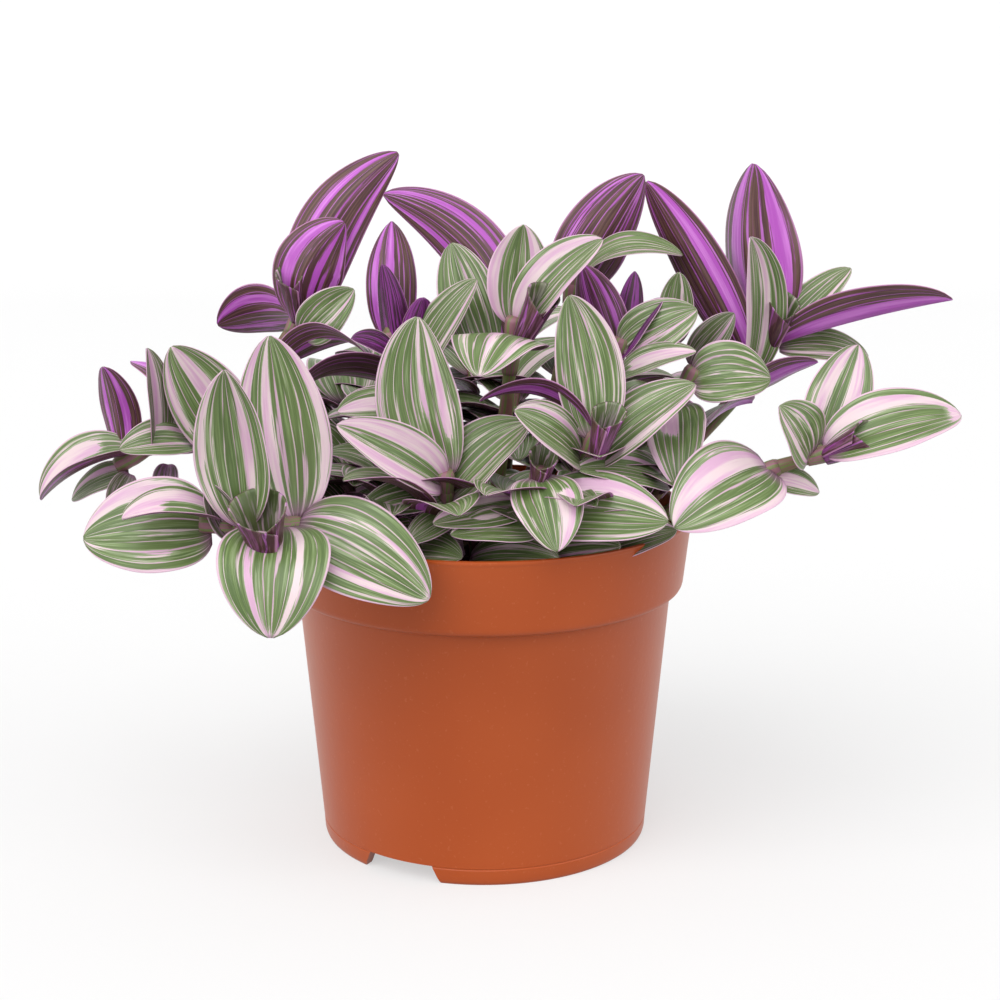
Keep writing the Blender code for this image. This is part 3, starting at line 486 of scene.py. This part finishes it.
def leaf_material():
    t = Tree("striped_leaf", 0.34, 0.45)
    across, along, pale = t.attribute("across"), t.attribute("along"), t.attribute("pale")
    under, seed, young = t.attribute("under"), t.attribute("seed"), t.attribute("young")
    later = t.math("ADD", seed, 31.0)
    edge = t.math("ABSOLUTE", across)
    wide = t.noise(stretched(t, across, along, seed, 5.0, 0.9), detail=2.0)
    fine = t.noise(stretched(t, across, along, later, 17.0, 1.7), detail=3.0, roughness=0.6)
    blotch = t.noise(stretched(t, across, along, later, 6.0, 1.4), detail=3.0)

    # Pale where a band is, feathered by long streaks, and along thin lines that follow the veins.
    streak = t.math(
        "ADD",
        t.math("MULTIPLY", t.math("SUBTRACT", wide, 0.5), 0.9),
        t.math("MULTIPLY", t.math("SUBTRACT", fine, 0.5), 1.5),
    )
    value = t.math("ADD", pale, streak)
    is_sage = t.step(value, 0.04, 0.3)
    vein = t.math("ADD", t.math("MULTIPLY", across, 4.4), t.math("MULTIPLY", wide, 1.6))
    off_vein = t.math("ABSOLUTE", t.math("SUBTRACT", t.math("FRACT", vein), 0.5))
    line = t.math("MULTIPLY", t.step(off_vein, 0.1, 0.045), t.step(fine, 0.36, 0.46))
    is_pale = t.math("MAXIMUM", t.step(value, 0.31, 0.38), t.math("MULTIPLY", line, 0.8))

    green = t.blend(t.step(fine, 0.4, 0.6), LEAF_GREENS)
    green = t.mix(t.step(blotch, 0.35, 0.7), green, linear(LEAF_OLIVE))
    green = t.mix(t.math("MULTIPLY", is_sage, 0.8), green, linear(LEAF_SAGE))
    upper = t.mix(is_pale, green, t.blend(t.step(blotch, 0.4, 0.62), LEAF_PALES))
    upper = t.mix(t.step(edge, 0.95, 0.975), upper, linear(LEAF_MARGIN))

    dark = t.blend(t.step(fine, 0.4, 0.6), UNDER_DARKS)
    dark = t.mix(t.math("MULTIPLY", is_sage, 0.55), dark, linear(UNDER_PLUM))
    lower = t.mix(is_pale, dark, t.blend(t.step(blotch, 0.4, 0.62), UNDER_VIOLETS))
    lower = t.mix(t.step(edge, 0.955, 0.98), lower, linear(UNDER_MARGIN))

    colour = t.mix(under, upper, lower)
    new = t.blend(t.step(value, -0.02, 0.1), YOUNG_COLOURS)
    colour = t.mix(t.math("MULTIPLY", young, t.step(edge, 1.0, 0.9)), colour, new)
    near_base = t.math("MULTIPLY", t.step(along, 0.13, 0.0), 0.55)
    t.put(t.shader.inputs["Base Color"], t.mix(near_base, colour, linear(LEAF_BASE)))
    t.bump(t.noise(stretched(t, across, along, seed, 40.0, 2.0), detail=2.0), 0.35, 0.0004)
    return t.material


def stem_material():
    t = Tree("stem_green", 0.45, 0.4)
    along, around, sheath = t.attribute("along"), t.attribute("across"), t.attribute("sheath")
    lines = t.noise(stretched(t, around, along, 3.0, 9.0, 0.06), detail=3.0)
    bare = t.blend(t.step(lines, 0.4, 0.6), STEM_COLOURS)
    sleeve = t.blend(t.step(lines, 0.45, 0.55), SLEEVE_COLOURS)
    t.put(t.shader.inputs["Base Color"], t.mix(sheath, bare, sleeve))
    t.bump(lines, 0.3, 0.0004)
    return t.material


def pot_material():
    t = Tree("pot_plastic", 0.36, 0.34)
    place = t.place()
    colour = t.blend(t.step(t.noise(place, 16.0, 2.0), 0.35, 0.65), POT_COLOURS)
    speck = t.step(t.noise(place, 900.0, 1.0), 0.66, 0.76)
    t.put(t.shader.inputs["Base Color"], t.mix(t.math("MULTIPLY", speck, 0.18), colour, linear(POT_SPECK)))
    t.bump(t.noise(place, 420.0, 3.0), 0.18, 0.0002)
    return t.material


def soil_material():
    t = Tree("soil_mix", 0.95, 0.2)
    place = t.place()
    grain = t.noise(place, 330.0, 4.0, 0.65)
    t.put(t.shader.inputs["Base Color"], t.blend(t.step(grain, 0.4, 0.62), SOIL_COLOURS))
    t.bump(t.noise(place, 210.0, 4.0), 0.8, 0.0015)
    return t.material


def root_material():
    t = Tree("dry_root", 0.85, 0.2)
    shade = t.noise(t.place(), 260.0, 3.0)
    t.put(t.shader.inputs["Base Color"], t.blend(t.step(shade, 0.4, 0.6), ROOT_COLOURS))
    t.bump(shade, 0.4, 0.0006)
    return t.material


class Shape:
    """Points, faces and point values of one mesh, gathered before it is made."""

    def __init__(self):
        self.points, self.faces, self.values = [], [], {}

    def grid(self, rows, looped=False, turned=False):
        """A sheet of faces over rows of point numbers."""
        for first, second in zip(rows, rows[1:]):
            count = len(first)
            for i in range(count if looped else count - 1):
                j = (i + 1) % count
                face = (first[i], first[j], second[j], second[i])
                self.faces.append(face[::-1] if turned else face)

    def add(self, point, **values):
        self.points.append(point * MM)
        for name, value in values.items():
            self.values.setdefault(name, {})[len(self.points) - 1] = value
        return len(self.points) - 1

    def make(self, name, material):
        data = bpy.data.meshes.new(name)
        data.from_pydata(self.points, [], self.faces)
        for key, given in self.values.items():
            layer = data.attributes.new(key, "FLOAT", "POINT")
            for i in range(len(self.points)):
                layer.data[i].value = given.get(i, 0.0)
        for face in data.polygons:
            face.use_smooth = True
        made = bpy.data.objects.new(name, data)
        data.materials.append(material)
        bpy.context.scene.collection.objects.link(made)
        return made


def on_stem(points, at):
    """The point this many control points along the stem, and the stem's direction there."""
    p = [Vector(q) for q in points]
    p = [2 * p[0] - p[1], *p, 2 * p[-1] - p[-2]]
    i = min(int(at), len(points) - 2)
    t = at - i
    a, b, c, d = p[i : i + 4]
    square, cube = 2 * a - 5 * b + 4 * c - d, 3 * (b - c) - a + d
    here = (2 * b + (c - a) * t + square * t * t + cube * t**3) / 2
    return here, ((c - a) + 2 * square * t + 3 * cube * t * t).normalized()


def paleness(bands, across, along):
    """How pale the leaf is here: 1 inside a band, feathered at its sides and its ends."""
    most = 0.0
    for middle, half, start, end, strength in bands:
        beside = (BAND_SHARE * half + BAND_FEATHER / 5 - abs(across - middle)) / BAND_FEATHER
        after_start = (along - start) / BAND_END_FEATHER if start else 1
        before_end = (end - along) / BAND_END_FEATHER if end < 1 else 1
        within = min(after_start, before_end)
        most = max(most, strength * min(max(beside, 0), 1) * min(max(within, 0), 1))
    return most


def add_blade(
    shape,
    base,
    tip,
    face,
    width,
    arch,
    bend,
    fold,
    cup,
    shoulder,
    bands=(),
    young=0.0,
    seed=0.0,
    rows=LEAF_ROWS,
    half_columns=LEAF_HALF_COLUMNS,
):
    """A thin closed leaf blade, with where each point lies on it."""
    base = Vector(base)
    chord = Vector(tip) - base
    length = chord.length
    axis = chord / length
    up = (Vector(face) - axis * Vector(face).dot(axis)).normalized()
    across = axis.cross(up)
    shoulder *= SHOULDER_SHARE
    widest = shoulder / (shoulder + TIP_TAPER)
    most = widest**shoulder * (1 - widest) ** TIP_TAPER
    fold, cup = math.radians(fold), math.radians(cup)
    over, below = [], []
    for r in range(rows + 1):
        u = r / rows
        u -= ROW_CROWDING * math.sin(2 * math.pi * u) / (2 * math.pi)
        bow = 4 * u * (1 - u) * length
        middle = base + chord * u + up * arch * bow + across * bend * bow
        turn = 4 * (1 - 2 * u)
        ahead = (axis + up * arch * turn + across * bend * turn).normalized()
        normal = (up - ahead * up.dot(ahead)).normalized()
        side = ahead.cross(normal)
        grown = BASE_TRIM + (1 - BASE_TRIM - TIP_TRIM) * u
        half = width / 2 * grown**shoulder * (1 - grown) ** TIP_TAPER / most
        top, bottom = [], []
        for c in range(-half_columns, half_columns + 1):
            v = c / half_columns
            v = math.copysign(1 - (1 - abs(v)) ** COLUMN_CROWDING, v)
            flat = half * abs(math.sin(cup * v) / cup) if cup else half * abs(v)
            rise = half * (1 - math.cos(cup * v)) / cup if cup else 0
            x = flat * math.cos(fold) - rise * math.sin(fold)
            z = flat * math.sin(fold) + rise * math.cos(fold)
            lean = math.atan2(z, x) if x > 1e-6 else 0.0
            groove = -GROOVE_DEPTH * math.exp(-((v / GROOVE_WIDTH) ** 2)) * (1 - u)
            ripple = RIPPLE * abs(v) ** 2 * math.sin(RIPPLES * u + 2.1 * seed + (1.7 if v > 0 else 0))
            ripple *= math.sin(math.pi * u) * min(width / 24, 1)
            outward = (normal * math.cos(lean) - side * math.copysign(math.sin(lean), v)).normalized()
            point = middle + side * math.copysign(x, v) + normal * z + outward * (groove + ripple)
            swell = 1 + MIDRIB_SWELL * (1 - u) * math.exp(-((v / MIDRIB_WIDTH) ** 2))
            thick = LEAF_THICK / 2 * (1 - EDGE_THINNING * abs(v) ** 6) * swell
            values = dict(across=v, along=u, pale=paleness(bands, v, u), seed=seed, young=young)
            top.append(shape.add(point + outward * thick, under=0.0, **values))
            bottom.append(shape.add(point - outward * thick, under=1.0, **values))
        over.append(top)
        below.append(bottom)
    shape.grid(over, turned=True)
    shape.grid(below)
    shape.grid([[o[0], b[0]] for o, b in zip(over, below)])
    shape.grid([[o[-1], b[-1]] for o, b in zip(over, below)], turned=True)
    shape.grid([over[0], below[0]])
    shape.grid([over[-1], below[-1]], turned=True)


def add_roll(shape, foot, top, meeting, foot_r, mouth_r, seed, rows=18, columns=28):
    """A young leaf still rolled into a funnel: its tip stands at the back and its edges lap lower in front."""
    foot, rise = Vector(foot), Vector(top) - Vector(foot)
    axis = rise.normalized()
    front = (Vector(meeting) - axis * Vector(meeting).dot(axis)).normalized()
    side = axis.cross(front)
    outer, inner = [], []
    for r in range(rows + 1):
        u = r / rows
        out_ring, in_ring = [], []
        for c in range(columns + 1):
            v = 2 * c / columns - 1
            turn = math.pi * (1 + ROLL_LAP * v)
            away = front * math.cos(turn) + side * math.sin(turn)
            radius = foot_r + (mouth_r - foot_r) * u**0.8 + ROLL_SPIRAL * v * (0.3 + u)
            height = u * (1 - ROLL_FRONT_DROP * abs(v) ** 1.5) + 0.02 * math.sin(5 * v + seed) * u
            flare = 1 + ROLL_FLARE * u**4 * (1 - abs(v) ** 2)
            values = dict(across=v, along=0.15 + 0.85 * u, seed=seed, young=0.2 + 0.4 * (1 - u))
            middle = foot + rise * height
            out_ring.append(shape.add(middle + away * (radius * flare + LEAF_THICK / 2), under=1.0, **values))
            in_ring.append(shape.add(middle + away * (radius * flare - LEAF_THICK / 2), under=0.0, **values))
        outer.append(out_ring)
        inner.append(in_ring)
    shape.grid(outer)
    shape.grid(inner, turned=True)
    shape.grid([[o[0], i[0]] for o, i in zip(outer, inner)], turned=True)
    shape.grid([[o[-1], i[-1]] for o, i in zip(outer, inner)])
    shape.grid([outer[0], inner[0]], turned=True)
    shape.grid([outer[-1], inner[-1]])


def add_tube(shape, centres, radii, sides=16, sheath=0.0):
    """A closed tube along the centres, with the length and angle held on its points."""
    rings, travelled = [], 0.0
    reference = Vector((0.3, 1, 0.1))
    for i, centre in enumerate(centres):
        before, after = centres[max(i - 1, 0)], centres[min(i + 1, len(centres) - 1)]
        ahead = (after - before).normalized()
        right = ahead.cross(reference).normalized()
        back = right.cross(ahead)
        if i:
            travelled += (centre - centres[i - 1]).length
        ring = []
        for k in range(sides):
            turn = 2 * math.pi * k / sides
            out = right * math.cos(turn) + back * math.sin(turn)
            around = abs(k / sides * 2 - 1)
            ring.append(shape.add(centre + out * radii[i], across=around, along=travelled, sheath=sheath))
        rings.append(ring)
    shape.grid(rings, looped=True)
    shape.faces += [tuple(rings[0][::-1]), tuple(rings[-1])]


def add_sheath(shape, points, at):
    """The short sleeve with which a leaf's base wraps its stem."""
    here, ahead = on_stem(points, at)
    add_tube(shape, [here + ahead * h for h, _ in SLEEVE], [STEM_R + r for _, r in SLEEVE], sheath=1.0)


def build_stem(name, points, leaf_places, material):
    shape = Shape()
    count = 10 * (len(points) - 1)
    centres, radii = [], []
    for i in range(count + 1):
        here, _ = on_stem(points, i / 10)
        centres.append(here)
        radii.append(STEM_R * (1.0 - 0.14 * i / count + 0.07 * math.cos(2 * math.pi * i / 10)))
    _, ahead = on_stem(points, len(points) - 1)
    centres += [centres[-1] + ahead * 1.2, centres[-1] + ahead * 2.0]
    radii += [radii[-1] * 0.7, radii[-1] * 0.3]
    add_tube(shape, centres, radii)
    for at in leaf_places:
        add_sheath(shape, points, at)
    made = shape.make("stem_" + name + "_look", material)
    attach(made, "root")
    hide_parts("stem_" + name)


def build_leaves(material):
    for number, (name, row) in enumerate(LEAVES.items()):
        stem, at, out, tip, face, *form = row
        here, ahead = on_stem(STEMS[stem], at)
        side_out = Vector(out) - ahead * Vector(out).dot(ahead)
        base = here + side_out.normalized() * (STEM_R - 0.3)
        shape = Shape()
        add_blade(shape, base, tip, face, *form, bands=PALE[name], seed=number * 3.7)
        made = shape.make("leaf_" + name + "_look", material)
        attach(made, "root")
        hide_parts("leaf_" + name)


def build_small_leaves(material):
    for number, (name, row) in enumerate(SMALL_LEAVES.items()):
        *form, young, bands = row
        shape = Shape()
        add_blade(shape, *form, bands=bands, young=young, seed=200 + number * 2.3, rows=24, half_columns=7)
        made = shape.make("small_leaf_" + name, material)
        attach(made, "root")


def build_rolled_leaves(material):
    for number, (name, row) in enumerate(ROLLED_LEAVES.items()):
        shape = Shape()
        add_roll(shape, *row, seed=300 + number * 1.9)
        made = shape.make("rolled_leaf_" + name, material)
        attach(made, "root")


def build_fill_shoots(leaf, stem):
    """Low shoots between the named ones, taller at the back, each a short stem with a few leaves."""
    for i in range(FILL_SHOOTS):
        share = (i + 0.5) / FILL_SHOOTS
        radius = FILL_INNER_R + (FILL_OUTER_R - FILL_INNER_R) * math.sqrt(share)
        angle = i * GOLDEN_ANGLE + 0.4
        outward = Vector((math.cos(angle), math.sin(angle), 0))
        at_back = min(max(outward.y * radius / FILL_OUTER_R, 0), 1)
        foot = outward * radius + Vector((0, 0, SOIL_TOP))
        height = 12 + 10 * chance(i) + 36 * at_back + 14 * (1 - radius / FILL_OUTER_R)
        lean = outward * height * 0.35
        points = [foot, foot + lean * 0.3 + Vector((0, 0, height * 0.55)), foot + lean + Vector((0, 0, height))]
        shape = Shape()
        add_tube(shape, [on_stem(points, k / 5)[0] for k in range(11)], [FILL_STEM_R] * 11, sides=10)
        made = shape.make(f"fill_stem_{i + 1}", stem)
        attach(made, "root")
        shape = Shape()
        for k in range(FILL_LEAVES):
            here, _ = on_stem(points, 2.0 - 0.3 * k)
            turn = angle + k * GOLDEN_ANGLE * 0.6 - 0.8
            away = Vector((math.cos(turn), math.sin(turn), 0))
            reach = 20 + 8 * chance(i, k + 1) + 8 * at_back
            tip = here + away * reach + Vector((0, 0, 6 - 3 * k + 6 * chance(i, k + 5)))
            tip.z = max(tip.z, FILL_LOWEST_TIP)
            face = away * 0.35 + Vector((0, 0, 1))
            bands = [(chance(i, k + 9) * 1.6 - 0.8, 0.05 + 0.14 * chance(i, k + 13), 0, 1, 1)]
            form = (17 + 6 * chance(i, k + 17) + 3 * at_back, 0.14, 0, 10, 10, 0.55)
            seed = 400 + 4 * i + k
            add_blade(shape, here, tip, face, *form, bands=bands, seed=seed, rows=16, half_columns=5)
        made = shape.make(f"fill_leaves_{i + 1}", leaf)
        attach(made, "root")


def slanted_block(angle):
    """What the foot ring's notch removes."""
    shape = Shape()
    slope = (NOTCH_FOOT - NOTCH_TOP) / 2 / NOTCH_HEIGHT
    rows = []
    for r in (FOOT_R - 8, FOOT_R + 4):
        corners = ((-1, -2), (1, -2), (1, NOTCH_HEIGHT), (-1, NOTCH_HEIGHT))
        rows.append([shape.add(Vector((r, s * (NOTCH_FOOT / 2 - slope * z), z))) for s, z in corners])
    shape.faces += [tuple(rows[0][::-1]), tuple(rows[1])]
    shape.grid([rows[0], rows[1]], looped=True)
    made = shape.make("notch_cutter", bpy.data.materials.new("cutter"))
    made.rotation_euler.z = math.radians(angle)
    return made


def drain_block(angle):
    shape = Shape()
    x, y = DRAIN_CIRCLE_R * math.cos(angle), DRAIN_CIRCLE_R * math.sin(angle)
    add_tube(shape, [Vector((x, y, FLOOR_UNDER - 2)), Vector((x, y, FLOOR_TOP + 2))], [DRAIN_R] * 2, 32)
    return shape.make("drain_cutter", bpy.data.materials.new("cutter"))


def outward_facing(data):
    mesh = bmesh.new()
    mesh.from_mesh(data)
    bmesh.ops.recalc_face_normals(mesh, faces=mesh.faces)
    mesh.to_mesh(data)
    mesh.free()


def build_pot(material):
    """The pot, turned from a profile of (radius, height) that runs up its inside and down its outside."""
    wall_r = BODY_FOOT_R - WALL
    profile = [
        (8, FLOOR_TOP),
        (wall_r - 2.4, FLOOR_TOP),
        (wall_r - 0.6, FLOOR_TOP + 0.6),
        (wall_r + 0.4, FLOOR_TOP + 2.2),
        (BODY_TOP_R - WALL, BAND_FOOT),
        (BODY_TOP_R - WALL + 0.6, BAND_FOOT + 1.6),
        (BAND_FOOT_R - WALL + 0.2, BAND_FOOT + 2.6),
        (RIM_R - WALL - 0.1, POT_HEIGHT - 1.0),
        (RIM_R - WALL, POT_HEIGHT - 0.4),
        (RIM_R - WALL + 0.35, POT_HEIGHT),
        (RIM_R - 0.4, POT_HEIGHT),
        (RIM_R - 0.1, POT_HEIGHT - 0.15),
        (RIM_R, POT_HEIGHT - 0.45),
        (RIM_R, POT_HEIGHT - 1.1),
        (RIM_R - 0.15, POT_HEIGHT - 1.4),
        (RIM_R - 0.25, POT_HEIGHT - 1.8),
        (BAND_FOOT_R + 0.3, BAND_FOOT + 2.4),
        (BAND_FOOT_R + 0.1, BAND_FOOT + 1.5),
        (BAND_FOOT_R - 0.3, BAND_FOOT + 0.8),
        (BAND_FOOT_R - 1.0, BAND_FOOT + 0.3),
        (BAND_FOOT_R - 1.8, BAND_FOOT),
        (BODY_TOP_R + 0.3, BAND_FOOT - 0.1),
        (BODY_TOP_R, BAND_FOOT - 0.6),
        (BODY_FOOT_R + 0.28, 5.5),
        (BODY_FOOT_R + 0.08, 5.3),
        (BODY_FOOT_R + 0.08, 5.0),
        (BODY_FOOT_R + 0.22, 4.8),
        (BODY_FOOT_R, 1.6),
        (BODY_FOOT_R - 0.2, 0.8),
        (FOOT_R + 0.25, 0.25),
        (FOOT_R, 0),
        (FOOT_R - 2.6, 0),
        (FOOT_R - 3.0, 0.5),
        (FOOT_R - 3.0, FLOOR_UNDER),
        (8, FLOOR_UNDER),
    ]
    shape = Shape()
    rings = []
    for r, z in profile:
        ring = []
        for k in range(POT_STEPS):
            turn = 2 * math.pi * k / POT_STEPS
            ring.append(shape.add(Vector((r * math.cos(turn), r * math.sin(turn), z))))
        rings.append(ring)
    shape.grid(rings, looped=True)
    shape.faces += [tuple(rings[0]), tuple(rings[-1][::-1])]
    pot = shape.make("pot_look", material)
    outward_facing(pot.data)
    cutters = [slanted_block(angle) for angle in NOTCH_ANGLES]
    cutters += [drain_block(2 * math.pi * (i + 0.5) / DRAIN_COUNT) for i in range(DRAIN_COUNT)]
    for cutter in cutters:
        outward_facing(cutter.data)
        boolean = pot.modifiers.new("cut", "BOOLEAN")
        boolean.operation = "DIFFERENCE"
        boolean.solver = "EXACT"
        boolean.object = cutter
    bpy.context.view_layer.update()
    whole = bpy.data.meshes.new_from_object(pot.evaluated_get(bpy.context.evaluated_depsgraph_get()))
    pot.modifiers.clear()
    pot.data = whole
    for cutter in cutters:
        bpy.data.objects.remove(cutter)
    whole.materials.clear()
    whole.materials.append(material)
    for face in whole.polygons:
        face.use_smooth = True
    whole.set_sharp_from_angle(angle=math.radians(32))
    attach(pot, "root")
    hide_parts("pot")


def build_crumbs(material):
    """Loose grains over the soil's flat top."""
    mesh = bmesh.new()
    for i in range(CRUMBS):
        radius = (SOIL_R - 1.5) * math.sqrt((i + 0.5) / CRUMBS)
        angle = i * GOLDEN_ANGLE
        size = 0.9 + 1.7 * chance(i, 2)
        made = bmesh.ops.create_icosphere(mesh, subdivisions=2, radius=size * MM)
        centre = Vector((radius * math.cos(angle), radius * math.sin(angle), SOIL_TOP - 0.1))
        squash = Vector((0.8 + 0.5 * chance(i, 3), 0.8 + 0.5 * chance(i, 4), 0.6 + 0.3 * chance(i, 5)))
        for vert in made["verts"]:
            lump = 1 + 0.3 * noise.noise(vert.co * 700 + Vector((i, 0, 0)))
            vert.co = vert.co * squash * lump + centre * MM
    data = bpy.data.meshes.new("soil_crumbs")
    mesh.to_mesh(data)
    mesh.free()
    data.materials.append(material)
    made = bpy.data.objects.new("soil_crumbs", data)
    bpy.context.scene.collection.objects.link(made)
    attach(made, "root")


def build_roots(material):
    """A tangle of dry roots at the right of the rim."""
    shape = Shape()
    for i in range(ROOTS):
        start = Vector((42 + 12 * chance(i, 1), -26 + 16 * chance(i, 2), 96))
        middle = start + Vector((4 - 6 * chance(i, 3), -6 + 9 * chance(i, 4), 6 + 5 * chance(i, 5)))
        end = middle + Vector((6 - 9 * chance(i, 6), -6 + 12 * chance(i, 7), -5 + 4 * chance(i, 8)))
        centres = [on_stem([start, middle, end], k / 6)[0] for k in range(13)]
        add_tube(shape, centres, [0.45 + 0.35 * chance(i, 9)] * 13, sides=8)
    made = shape.make("dry_roots", material)
    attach(made, "root")


def build_stage():
    """A floor that sweeps up behind. Its glow, which lights nothing, keeps it white and its shadow light."""
    floor = bpy.data.meshes.new("floor")
    half, back, depth, top = 3.0, 1.2, 0.8, 2.2
    profile = [(-2.5, 0), (back, 0)]
    for step in range(1, 8):
        turn = 0.2 * step
        profile.append((back + depth * math.sin(turn), depth - depth * math.cos(turn)))
    profile.append((back + depth, top))
    points = [(x, y, z) for y, z in profile for x in (-half, half)]
    faces = [(2 * i, 2 * i + 1, 2 * i + 3, 2 * i + 2) for i in range(len(profile) - 1)]
    floor.from_pydata(points, [], faces)
    for face in floor.polygons:
        face.use_smooth = True
    made = bpy.data.objects.new("floor", floor)
    t = Tree("floor_white", 0.9, 0.0)
    tone = t.noise(t.place(), 3.0, 1.0)
    t.put(t.shader.inputs["Base Color"], t.mix(tone, *FLOOR_GREYS))
    t.shader.inputs["Emission Color"].default_value = (1, 1, 1, 1)
    ray = t.nodes.new("ShaderNodeLightPath").outputs
    seen = t.math("MAXIMUM", ray["Is Camera Ray"], ray["Is Glossy Ray"])
    t.put(t.shader.inputs["Emission Strength"], t.math("MULTIPLY", seen, FLOOR_GLOW))
    floor.materials.append(t.material)
    bpy.context.scene.collection.objects.link(made)


def add_sun(name, strength, spread, tilt, turn):
    data = bpy.data.lights.new(name, "SUN")
    data.energy = strength
    data.angle = math.radians(spread)
    made = bpy.data.objects.new(name, data)
    made.rotation_euler = (math.radians(tilt), 0, math.radians(turn))
    bpy.context.scene.collection.objects.link(made)


def build_light():
    world = bpy.data.worlds.new("studio")
    bpy.context.scene.world = world
    world.use_nodes = True
    nodes, links = world.node_tree.nodes, world.node_tree.links
    sky = nodes["Background"]
    sky.inputs["Color"].default_value = (1, 1, 1, 1)
    seen = nodes.new("ShaderNodeLightPath").outputs["Is Camera Ray"]
    strength = nodes.new("ShaderNodeMapRange")
    strength.inputs["To Min"].default_value = SKY
    strength.inputs["To Max"].default_value = 1.0
    links.new(seen, strength.inputs["Value"])
    links.new(strength.outputs[0], sky.inputs["Strength"])
    add_sun("key", KEY, 50, 36, -24)
    add_sun("left", SIDE, 36, 70, -60)
    add_sun("right", SIDE, 36, 70, 66)


def build_camera():
    data = bpy.data.cameras.new("camera")
    data.lens = LENS
    data.sensor_width = 36
    made = bpy.data.objects.new("camera", data)
    made.location = CAMERA_AT
    made.rotation_euler = (math.radians(90 - CAMERA_TILT), 0, 0)
    bpy.context.scene.collection.objects.link(made)
    bpy.context.scene.camera = made


def main():
    leaf, stem, soil = leaf_material(), stem_material(), soil_material()
    build_pot(pot_material())
    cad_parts["soil"].data.materials.clear()
    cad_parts["soil"].data.materials.append(soil)
    for name, points in STEMS.items():
        build_stem(name, points, sorted({row[1] for row in LEAVES.values() if row[0] == name}), stem)
    build_leaves(leaf)
    build_small_leaves(leaf)
    build_rolled_leaves(leaf)
    build_fill_shoots(leaf, stem)
    build_crumbs(soil)
    build_roots(root_material())
    build_stage()
    build_light()
    build_camera()
    bpy.context.scene.view_settings.view_transform = "Standard"


main()
